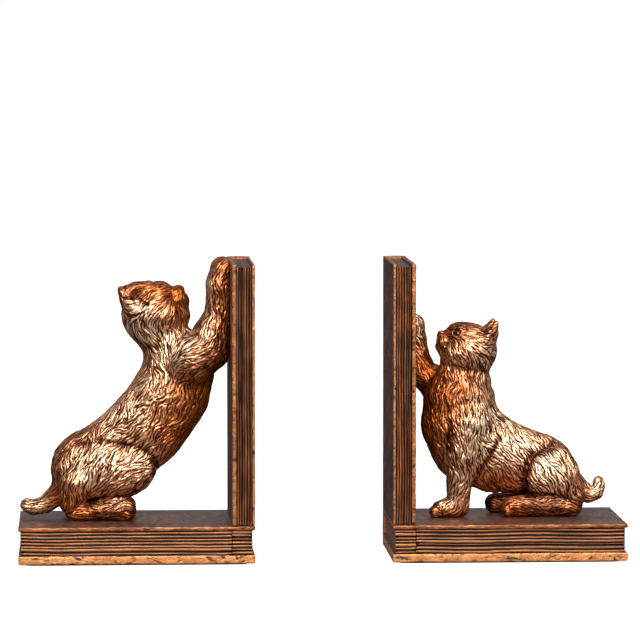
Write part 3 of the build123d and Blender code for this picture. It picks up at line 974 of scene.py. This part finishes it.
# ---- stage ----------------------------------------------------------------------------------
def build_stage():
    """A white table that fades into a white room, lit from the front by soft boxes."""
    bpy.ops.mesh.primitive_plane_add(size=80, location=(0, 0, 0))
    floor = bpy.context.object
    floor.name = "floor"
    material, _, shader = new_material("floor_white")
    shader.inputs["Base Color"].default_value = (0.80, 0.80, 0.80, 1)
    shader.inputs["Roughness"].default_value = 0.7
    shader.inputs["Emission Color"].default_value = (1, 1, 1, 1)
    shader.inputs["Emission Strength"].default_value = 0.72
    floor.data.materials.append(material)
    floor.visible_glossy = False
    build_world()
    add_light("key", (-0.30, -1.6, 0.95), 0.8, 43)
    add_light("fill", (0.9, -1.2, 0.55), 0.9, 9)
    add_light("top", (0.40, -0.65, 1.15), 0.8, 13)


def build_world():
    """White to the camera, but a dim room, lighter overhead, to everything that it lights."""
    world = bpy.data.worlds.new("studio")
    bpy.context.scene.world = world
    world.use_nodes = True
    tree = world.node_tree
    room = tree.nodes["Background"]
    place = tree.nodes.new("ShaderNodeTexCoord")
    parts = tree.nodes.new("ShaderNodeSeparateXYZ")
    tree.links.new(place.outputs["Generated"], parts.inputs["Vector"])
    height = math_node(tree, "MULTIPLY", math_node(tree, "ADD", parts.outputs["Z"], 1), 0.5)
    shades = ramp(tree, height, (
        (0.45, (0.05, 0.04, 0.04)),
        (0.55, (0.22, 0.22, 0.23)),
        (0.90, (0.70, 0.70, 0.70)),
    ))
    tree.links.new(shades, room.inputs["Color"])
    seen = tree.nodes.new("ShaderNodeBackground")
    seen.inputs["Color"].default_value = (1, 1, 1, 1)
    ray = tree.nodes.new("ShaderNodeLightPath")
    both = tree.nodes.new("ShaderNodeMixShader")
    tree.links.new(ray.outputs["Is Camera Ray"], both.inputs["Fac"])
    tree.links.new(room.outputs["Background"], both.inputs[1])
    tree.links.new(seen.outputs["Background"], both.inputs[2])
    tree.links.new(both.outputs["Shader"], tree.nodes["World Output"].inputs["Surface"])


def add_light(name, place, size, power):
    """A square soft box that points at the middle of the pair."""
    light = bpy.data.lights.new(name, "AREA")
    light.size = size
    light.energy = power
    lamp = bpy.data.objects.new(name, light)
    lamp.location = place
    aim = Vector((0, 0, 0.08)) - Vector(place)
    lamp.rotation_euler = aim.to_track_quat("-Z", "Y").to_euler()
    bpy.context.scene.collection.objects.link(lamp)


def build_camera():
    """A catalogue view: nearly level, a little to the left, from far away."""
    pan, dip = math.radians(3.19), math.radians(4.14)
    camera = bpy.data.cameras.new("camera")
    camera.lens = 236.5
    camera.sensor_width = 36
    camera.clip_end = 20
    rig = bpy.data.objects.new("camera", camera)
    rig.location = (-0.1309, -2.3471, 0.3029)
    rig.rotation_euler = (math.pi / 2 - dip, 0, -pan)
    bpy.context.scene.collection.objects.link(rig)
    bpy.context.scene.camera = rig


# ---- assembly -------------------------------------------------------------------------------
LEFT_ZONES = (  # kind, middle and radii (away, sideways, height), strength
    # Orange zones on the chest, throat, muzzle, arms, belly and paws: orange paint, partly a painted
    # reflection of the books
    (ORANGE_AND_REFLECTION, (12, -8, 86), (11, 20, 13), 0.95),
    (ORANGE_AND_REFLECTION, (13, 0, 72), (14, 22, 18), 1.0),
    (ORANGE_AND_REFLECTION, (30, 0, 124), (20, 16, 15), 1.0),
    (ORANGE_AND_REFLECTION, (26, 0, 112), (9, 16, 10), 0.9),
    (ORANGE_AND_REFLECTION, (5, 0, 112), (9, 20, 30), 1.0),
    (ORANGE_AND_REFLECTION, (28, 0, 44), (19, 22, 24), 0.9),
    (ORANGE_AND_REFLECTION, (88, 0, 8), (14, 24, 12), 0.9),
    (ORANGE_AND_REFLECTION, (62, 0, 4), (16, 24, 7), 0.95),
    (ORANGE_AND_REFLECTION, (44, 0, 130), (14, 20, 6), 0.5),
    # Gilt zones, set where the highlights fall on the arm, back, shoulder and thigh: partly a painted
    # highlight
    (GILT_AND_HIGHLIGHT, (31, -16, 97), (13, 14, 11), 0.95),
    (GILT_AND_HIGHLIGHT, (22, -16, 104), (9, 12, 12), 0.85),
    (GILT_AND_HIGHLIGHT, (13, -16, 122), (5, 12, 22), 0.8),
    (GILT_AND_HIGHLIGHT, (66, -16, 60), (18, 14, 12), 0.9),
    (GILT_AND_HIGHLIGHT, (46, -16, 76), (11, 14, 11), 0.5),
    (GILT_AND_HIGHLIGHT, (76, -18, 32), (20, 14, 13), 0.75),
    (GILT_AND_HIGHLIGHT, (48, -18, 33), (9, 14, 9), 0.9),
    (GILT_AND_HIGHLIGHT, (50, -14, 110), (12, 12, 13), 0.85),
    (GILT_AND_HIGHLIGHT, (64, -18, 10), (8, 12, 4), 0.6),
    (GILT_AND_HIGHLIGHT, (110, -4, 9), (9, 10, 5), 0.7),
    # Painted shade zones: under the arms and paws, beside the standing book and on the far side
    (PAINTED_SHADE, (4, 0, 83), (6, 24, 5), 0.85),
    (PAINTED_SHADE, (50, 0, 133), (16, 14, 4), 0.4),
    (PAINTED_SHADE, (100, 0, 26), (6, 14, 20), 0.3),
    (PAINTED_SHADE, (6, -8, 108), (7.5, 24, 26), 0.6),
    (PAINTED_SHADE, (8, 0, 90), (12, 24, 12), 0.65),
    (PAINTED_SHADE, (24, 0, 122), (9, 16, 14), 0.55),
    (PAINTED_SHADE, (22, 0, 52), (12, 24, 26), 0.3),
    (PAINTED_SHADE, (70, -14, 6), (20, 14, 7), 0.6),
)
RIGHT_ZONES = (
    # Orange zones on the chest, throat, belly and paws: orange paint, partly a painted reflection of the
    # books
    (ORANGE_AND_REFLECTION, (13, 0, 56), (14, 24, 30), 1.0),
    (ORANGE_AND_REFLECTION, (18, 0, 92), (12, 20, 14), 0.7),
    (ORANGE_AND_REFLECTION, (20, 0, 76), (13, 24, 15), 1.0),
    (ORANGE_AND_REFLECTION, (50, 0, 20), (18, 24, 10), 0.9),
    (ORANGE_AND_REFLECTION, (70, 0, 4), (30, 24, 8), 0.9),
    (ORANGE_AND_REFLECTION, (18, 0, 3), (14, 24, 7), 0.8),
    (ORANGE_AND_REFLECTION, (8, 8, 84), (9, 12, 18), 0.8),
    # Gilt zones, set where the highlights fall on the shoulder, flank, cheek and thigh: partly a painted
    # highlight
    (GILT_AND_HIGHLIGHT, (47, -16, 54), (15, 14, 14), 1.0),
    (GILT_AND_HIGHLIGHT, (39, -16, 45), (11, 14, 12), 1.0),
    (GILT_AND_HIGHLIGHT, (43, -12, 90), (12, 12, 13), 0.6),
    (GILT_AND_HIGHLIGHT, (21, -12, 90), (10, 9, 10), 0.65),
    (GILT_AND_HIGHLIGHT, (58, -16, 40), (16, 14, 12), 1.0),
    (GILT_AND_HIGHLIGHT, (79, -18, 28), (14, 14, 13), 1.0),
    (GILT_AND_HIGHLIGHT, (28, -16, 24), (8, 12, 14), 0.7),
    (GILT_AND_HIGHLIGHT, (18, -16, 8), (8, 12, 4), 0.8),
    (GILT_AND_HIGHLIGHT, (74, -18, 11), (20, 12, 3), 0.25),
    (GILT_AND_HIGHLIGHT, (107, -4, 14), (6, 10, 9), 0.8),
    (GILT_AND_HIGHLIGHT, (4, 8, 106), (6, 12, 10), 0.9),
    # Painted shade zones: under the paws, beside the standing book and on the far side
    (PAINTED_SHADE, (46, 8, 6), (9, 9, 10), 0.9),
    (PAINTED_SHADE, (30, 0, 111), (14, 12, 5), 0.35),
    (PAINTED_SHADE, (6, 8, 66), (7, 14, 5), 0.7),
    (PAINTED_SHADE, (13, 0, 62), (13, 26, 24), 0.45),
    (PAINTED_SHADE, (33, -14, 71), (13, 16, 9), 0.35),
    (PAINTED_SHADE, (72, -14, 6), (24, 14, 7), 0.75),
)


def build_cats():
    copper, gloss = cat_material(), eye_material()
    cats = (
        ("stretching_cat", "left_stretching_cat", "left_book_end", -1, stretching_cat(),
         LEFT_CREASES, LEFT_ZONES, None),  # its eyes are closed
        ("crouching_cat", "right_crouching_cat", "right_book_end", 1, crouching_cat(),
         RIGHT_CREASES, RIGHT_ZONES, CROUCHING_HEAD),
    )
    for name, node, body, side, forms_and_cuts, creases, zones, head in cats:
        piece = cat_piece(name, node, side, forms_and_cuts, creases, zones)
        piece.data.materials.append(copper)
        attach(piece, body)
        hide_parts(node)
        for end, (centre, radius) in zip(("near", "far"), eye_places(*head) if head else ()):
            eye = eyeball(f"{name}_{end}_eye", node, side, centre, radius)
            eye.data.materials.append(gloss)
            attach(eye, body)


build_camera()
build_stage()
bpy.context.scene.view_settings.view_transform = "Standard"
build_books()
build_cats()
